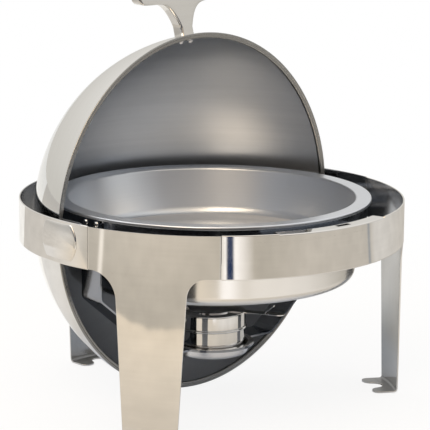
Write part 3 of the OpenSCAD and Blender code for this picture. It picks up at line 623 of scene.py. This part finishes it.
ROUND_STEPS, BEAD_R = 128, 1.9
tray = bent([[TRAY_R + 5.5, TRAY_TOP], [TRAY_R - 1, TRAY_TOP, 2], [TRAY_R - 2.5, FUEL_FLOOR, 4],
             [0, FUEL_FLOOR]])
piece("burner_tray_sheet", [turned(strip(tray, PAN_T, round_end=False), steps=ROUND_STEPS)],
      "frame", [TRAY], ["burner_tray"])
cup_r, cup_floor = FUEL_R - FUEL_T, FUEL_FLOOR + FUEL_T
cup = bent([[cup_r, FUEL_TOP - 2.6], [cup_r, cup_floor, 2], [0, cup_floor]])
piece("fuel_cup_sheet", [turned(strip(cup, FUEL_T, round_end=False), steps=ROUND_STEPS)],
      "fuel_holder", [CAN], ["fuel_cup"])
cover_low = FUEL_TOP - COVER_H
cover = bent([[COVER_R, cover_low], [COVER_R, FUEL_TOP, 2.5], [FLAME_R, FUEL_TOP]])
ring = np.linspace(0, 2 * np.pi, 15)[:-1]
bead = np.stack([np.maximum(COVER_R - 0.1 + BEAD_R * np.cos(ring), FUEL_R + 0.12),
                 cover_low + BEAD_R * np.sin(ring)], 1)
piece("fuel_cover_sheet", [turned(strip(cover, FUEL_T), steps=ROUND_STEPS), turned(bead, steps=ROUND_STEPS)],
      "fuel_holder", [CAN], ["fuel_cover"])

# Pins, rivets and nuts

STRAP_X, STRAP_T = COLLAR_R + 2.6, 2.5
INSIDE_X = COLLAR_R - COLLAR_T - 0.5
EAR_X, EAR_T, EAR_HALF, EAR_GAP = RIM_R - RIM_FLANGE - 1.5, 2.5, 20.0, 0.3
PIN_R, PIN_EDGE, SLEEVE_R, SLEEVE_BORE = 5.0, 0.8, 8.0, 5.02
NUT_ACROSS, NUT_H = 13.0, 5.5
STOP_R, STOP_Y, STOP_EDGE = 3.0, 13.5, 0.4
RIVET_R, RIVET_TAIL, RIVET_Y, RIVET_DROP = 2.0, 3.0, 10.0, 8.0
SIDE_RIVET_R, SIDE_RIVET_H, SIDE_RIVET_DROP = 2.8, 1.4, 7.0
DAMPER_PIVOT, DAMPER_HEADING, DAMPER_HEAD, DAMPER_TAIL = FLAME_R + 11, 30.0, 3.6, 3.2
STUD_X, STUD_R, STUD_LEN, CAP_NUT_ACROSS, CAP_NUT_H, CAP_NUT_DOME = 8.0, 1.75, 16.0, 8.0, 5.2, 3.8


def rod(*steps):
    """A turned piece from (radius, height) steps, closed on its axis at both ends."""
    return turned(np.array([[0, steps[0][1]], *steps, [0, steps[-1][1]]]), steps=48)


def domed(radius, height, at):
    """Steps of a domed head: most of a quarter of an ellipse, which the rod then closes on its axis."""
    angle = np.linspace(0, 1.5, 9)
    return np.stack([radius * np.cos(angle), at + height * np.sin(angle)], 1)


def sleeve(low, high, edge=0.4):
    """A tube round the pivot pin, with chamfered outer edges."""
    return turned(np.array([[SLEEVE_BORE, low], [SLEEVE_R - edge, low], [SLEEVE_R, low + edge],
                            [SLEEVE_R, high - edge], [SLEEVE_R - edge, high], [SLEEVE_BORE, high]]), steps=48)


def hexagon(across, low, high, start=0.0, edge=0.5):
    """A six-sided nut between two heights, with its corners chamfered at the low end."""
    angle = np.radians(start + 60 * np.arange(6))
    r = across / 2 / np.cos(np.pi / 6) * np.array([1 - 2 * edge / across, 1, 1])[:, None]
    z = np.array([low, low + edge, high])[:, None]
    return loft(np.stack([r * np.cos(angle), r * np.sin(angle), z + 0 * angle], -1))


def hardware(name, parts, body, node):
    """A piece of turned steel that stands in for one node of the solids."""
    piece(name, parts, body, [HARD], [node])


rivet = rod((RIVET_TAIL, INSIDE_X - 1), (RIVET_TAIL, INSIDE_X), (RIVET_R, INSIDE_X), (RIVET_R, STRAP_X),
            *domed(2 * RIVET_R, 2, STRAP_X))
hardware("domed_hanger_rivets", [along_x(rivet, side, y, RING_TOP - RIVET_DROP)
                                 for side in (-1, 1) for y in (-RIVET_Y, RIVET_Y)], "frame", "hanger_rivets")
stop_end, stop_z = EAR_X + EAR_GAP, AXIS_Z - EAR_HALF - STOP_R - EAR_GAP
stop = rod((STOP_R - 1, STRAP_X - STRAP_T), (STOP_R - 1, STRAP_X), (STOP_R, STRAP_X),
           (STOP_R, stop_end - STOP_EDGE), (STOP_R - STOP_EDGE, stop_end))
hardware("turned_stop_pins", [along_x(stop, side, STOP_Y, stop_z) for side in (-1, 1)],
         "frame", "lid_stop_pins")
pin_end = INSIDE_X - 6
pin = rod((PIN_R - PIN_EDGE, pin_end), (PIN_R, pin_end + PIN_EDGE), (PIN_R, RING_R - 0.1))
sleeves = [sleeve(EAR_X + EAR_GAP, np.sqrt(RING_IN ** 2 - SLEEVE_R ** 2) - 0.02),
           sleeve(STRAP_X, EAR_X - EAR_T - EAR_GAP)]
nut = hexagon(NUT_ACROSS, INSIDE_X - NUT_H, INSIDE_X, 90)
for side, name in SIDES:
    for word, parts, node in (("turned_pin_", [pin], "pivot_pin_"),
                              ("turned_sleeves_", sleeves, "pivot_sleeves_"),
                              ("hex_nut_", [nut], "pivot_nut_")):
        hardware(word + name, [along_x(part, side, 0, AXIS_Z) for part in parts], "frame", node + name)

side_rivet = rod((RIVET_R, FUEL_R - 1.8), (RIVET_R, COVER_R), *domed(SIDE_RIVET_R, SIDE_RIVET_H, COVER_R))
hardware("domed_side_rivets", [along_x(side_rivet, side, 0, FUEL_TOP - SIDE_RIVET_DROP) for side in (-1, 1)],
         "fuel_holder", "fuel_side_rivets")
under_cover, over_plate = FUEL_TOP - FUEL_T, FUEL_TOP + 1.4
damper_rivet = rod((DAMPER_TAIL, under_cover - 1.2), (DAMPER_TAIL, under_cover), (RIVET_R, under_cover),
                   (RIVET_R, over_plate), *domed(DAMPER_HEAD, 1.2, over_plate))
hardware("domed_damper_rivet", [spun(moved(damper_rivet, y=DAMPER_PIVOT), DAMPER_HEADING)],
         "fuel_holder", "damper_rivet")
nut_top = LID_R - LID_T - 0.4
nut_low = nut_top - CAP_NUT_H
cap_nut = [rod((STUD_R, nut_top - 1), (STUD_R, nut_top + STUD_LEN)),
           hexagon(CAP_NUT_ACROSS, nut_low, nut_top),
           rod((CAP_NUT_DOME, nut_low + 0.3), *domed(CAP_NUT_DOME, -CAP_NUT_DOME, nut_low))]
hardware("domed_cap_nuts", [leaned(moved(part, x), HANDLE_TILT, LID_Y, AXIS_Z)
                            for x in (-STUD_X, STUD_X) for part in cap_nut], "lid", "handle_cap_nuts")

# Solids that are shown as they are
# the burner hanger and the lid's ears take finishes with painted shade in their colour
for name, finish in (("burner_hanger", STRAP_SHADED), ("damper", CAN), ("lid_ear_left", DOME_IN_SHADED),
                     ("lid_ear_right", DOME_IN_SHADED)):
    nodes[name].data.materials.clear()
    nodes[name].data.materials.append(finish)

# Stage: to the camera a white floor with a soft shadow, to the steel a table with darker ground round it

FLOOR_HALF = 9.0
WHITE = (1, 1, 1, 1)
floor_mesh = bpy.data.meshes.new("floor")
floor_corners = FLOOR_HALF * np.array([(-1, -1, 0), (1, -1, 0), (1, 1, 0), (-1, 1, 0)])
floor_mesh.from_pydata(floor_corners.tolist(), [], [(0, 1, 2, 3)])
floor = bpy.data.objects.new("floor", floor_mesh)
bpy.context.scene.collection.objects.link(floor)
paper = bpy.data.materials.new("pale_floor")
paper.use_nodes = True
tree = Nodes(paper.node_tree)
to_camera = tree.add("ShaderNodeLightPath").outputs["Is Camera Ray"]
spot = tree.add("ShaderNodeTexCoord").outputs["Object"]
xyz = tree.add("ShaderNodeSeparateXYZ", {0: spot}).outputs
far_out = tree.length(spot)
# heading of a floor point in degrees, from the front (-Y) towards +X
heading = tree.math("DEGREES", tree.math("ARCTAN2", xyz[0], tree.math("MULTIPLY", xyz[1], -1.0)))
# distance towards the table's edge, which runs across the heading of -70 degrees
toward = tree.dot(spot, (-0.94, -0.342, 0.0))
toward = tree.math("ADD", toward, tree.spread(tree.noise(spot, 5.0, 2.0), 0.3, 0.7, -0.02, 0.02))
table = tree.tint(tree.spread(toward, 0.05, 0.78), (0.62, 0.59, 0.535), (0.725, 0.655, 0.545), 0.0, 1.0)
ground = tree.tint(tree.spread(toward, 0.8, 1.4), (0.437, 0.413, 0.365), (0.508, 0.48, 0.427), 0.0, 1.0)
past_front = tree.math("MULTIPLY", tree.spread(heading, -52, -40), tree.spread(far_out, 0.55, 0.75))
off_table = tree.math("MAXIMUM", tree.spread(toward, 0.80, 0.82), past_front)
tone = tree.mix(off_table, table, ground)
# under the dish the floor turns pale blue grey: painted cool shade that the steel picks up
tone = tree.mix(tree.spread(far_out, 0.20, 0.32, 1.0, 0.0), tone, (0.76, 0.775, 0.80, 1))


def wedge(tone, colour, start, full_from, full_to, stop, near=0.9):
    """Lays a colour over the floor's tone between two headings, fading at both, from a distance out."""
    rise, fall = tree.spread(heading, start, full_from), tree.spread(heading, full_to, stop, 1.0, 0.0)
    outside = tree.spread(far_out, near, near + 0.05)
    share = tree.math("MULTIPLY", tree.math("MINIMUM", rise, fall), outside)
    return tree.mix(share, tone, (*colour, 1))


# near and far floor in front, then to the right and behind
tone = wedge(tone, (0.77, 0.745, 0.70), -30, -12, 25, 70, 0.40)
tone = wedge(tone, (0.478, 0.452, 0.40), -44, -40, 60, 90)
tone = wedge(tone, (0.60, 0.565, 0.505), -12, 10, 181, 182)
# near and far floor behind to the left, and the streak that shows in the left of the front leg's head
tone = wedge(tone, (0.755, 0.745, 0.72), -190, -189, -140, -112, 0.25)
tone = wedge(tone, (0.635, 0.61, 0.565), -190, -189, -140, -112)
tone = wedge(tone, (0.80, 0.77, 0.71), -106, -104.6, -103.4, -102)
# white and dark blue streaks that show beside the front band's left seam
tone = wedge(tone, (0.97, 0.96, 0.95), -37.6, -35.6, -29.5, -20.0, 0.45)
tone = wedge(tone, (0.02, 0.035, 0.09), -35.2, -34.2, -31.6, -30.6)
# grey and pale tones that show to the right in the front band, and a bright one in the right leg's head,
# painted light where the dish's shadow falls on the floor
tone = wedge(tone, (0.36, 0.38, 0.40), 53.0, 54.3, 54.9, 56.4)
tone = wedge(tone, (0.74, 0.72, 0.68), 55.5, 60.0, 70.0, 110.0)
tone = wedge(tone, (0.97, 0.96, 0.92), 120.0, 150.0, 181.0, 182.0, 0.25)
cloud = tree.spread(tree.noise(spot, 7.0, 3.0), 0.3, 0.7, 0.93, 1.05)
tone = tree.add("ShaderNodeVectorMath", {0: tone, "Scale": cloud}, operation="SCALE").outputs[0]
tone = tree.vector("MULTIPLY", tone, (1.01, 1.07, 1.17))
lit = tree.add("ShaderNodeBsdfDiffuse", {"Color": tone}).outputs[0]
clean = tree.add("ShaderNodeBsdfDiffuse", {"Color": WHITE}).outputs[0]
white = tree.add("ShaderNodeEmission", {"Color": WHITE, "Strength": 1.0}).outputs[0]
faded = tree.spread(far_out, 0.5, 1.1, 0.87, 1.0)
shadow = tree.add("ShaderNodeMixShader", {0: faded, 1: clean, 2: white}).outputs[0]
shown = tree.add("ShaderNodeMixShader", {0: to_camera, 1: lit, 2: shadow}).outputs[0]
tree.add("ShaderNodeOutputMaterial", {"Surface": shown})
floor_mesh.materials.append(paper)

# Light: a pale room, dark low down and warm high up on the left of the front, and two soft lamps

world = bpy.data.worlds.new("studio")
bpy.context.scene.world = world
world.use_nodes = True
tree = Nodes(world.node_tree)
to_camera = tree.add("ShaderNodeLightPath").outputs["Is Camera Ray"]
look = tree.add("ShaderNodeTexCoord").outputs["Generated"]
height = tree.add("ShaderNodeSeparateXYZ", {0: look}).outputs[2]
dark_side = tree.tint(height, (0.035, 0.05, 0.085), (0.98, 0.85, 0.69), 0.10, 0.62)
light_side = tree.tint(height, (0.65, 0.635, 0.60), (0.92, 0.905, 0.885), 0.0, 0.75)
to_left = tree.dot(look, (-0.766, -0.643, 0.0))
room = tree.mix(tree.spread(to_left, 0.1, 0.6), light_side, dark_side)
sky = tree.add("ShaderNodeBackground", {"Color": tree.mix(to_camera, room, WHITE), "Strength": 1.0})
tree.add("ShaderNodeOutputWorld", {"Surface": sky.outputs[0]})


def lamp(name, at, aim, size, power, colour):
    """A soft rectangular lamp that points at a spot on the dish."""
    data = bpy.data.lights.new(name, "AREA")
    data.shape = "RECTANGLE"
    data.size, data.size_y = size
    data.energy, data.color = power, colour
    obj = bpy.data.objects.new(name, data)
    obj.location = at
    obj.rotation_euler = (Vector(aim) - Vector(at)).to_track_quat("-Z", "Y").to_euler()
    bpy.context.scene.collection.objects.link(obj)


lamp("front_softbox", (-1.66, -0.86, 2.04), (0, 0, 0.2), size=(1.7, 1.7), power=25, colour=(1.0, 0.785, 0.55))
lamp("left_softbox", (-2.4, 0.9, 1.3), (0, 0, 0.3), size=(1.2, 1.6), power=8, colour=(1.0, 0.98, 0.96))

# Camera, fitted to the photo: lengths in pixels, angles in degrees, distance in metres from the ring's top

IMAGE, FOCAL, CENTRE_X, CENTRE_Y = 430, 2494.3, 211.84, 195.72
AZIMUTH, ELEVATION, ROLL, DISTANCE, SENSOR = -42.66, 11.38, 0.50, 3.1642, 36.0
view = bpy.data.cameras.new("camera")
view.sensor_width = SENSOR
view.lens = SENSOR * FOCAL / IMAGE
view.shift_x, view.shift_y = (IMAGE / 2 - CENTRE_X) / IMAGE, (CENTRE_Y - IMAGE / 2) / IMAGE
azimuth, elevation, roll = np.radians([AZIMUTH, ELEVATION, ROLL])
level = np.cos(elevation)
back = np.array([np.sin(azimuth) * level, -np.cos(azimuth) * level, np.sin(elevation)])
right = np.array([np.cos(azimuth), np.sin(azimuth), 0.0])
up = np.cross(back, right)
right, up = np.cos(roll) * right + np.sin(roll) * up, np.cos(roll) * up - np.sin(roll) * right
place = np.eye(4)
place[:3] = np.stack([right, up, back, [0, 0, RING_TOP * MM] + back * DISTANCE], 1)
camera = bpy.data.objects.new("camera", view)
camera.matrix_world = Matrix(place.tolist())
bpy.context.scene.collection.objects.link(camera)
bpy.context.scene.camera = camera
bpy.context.scene.view_settings.view_transform = "Standard"
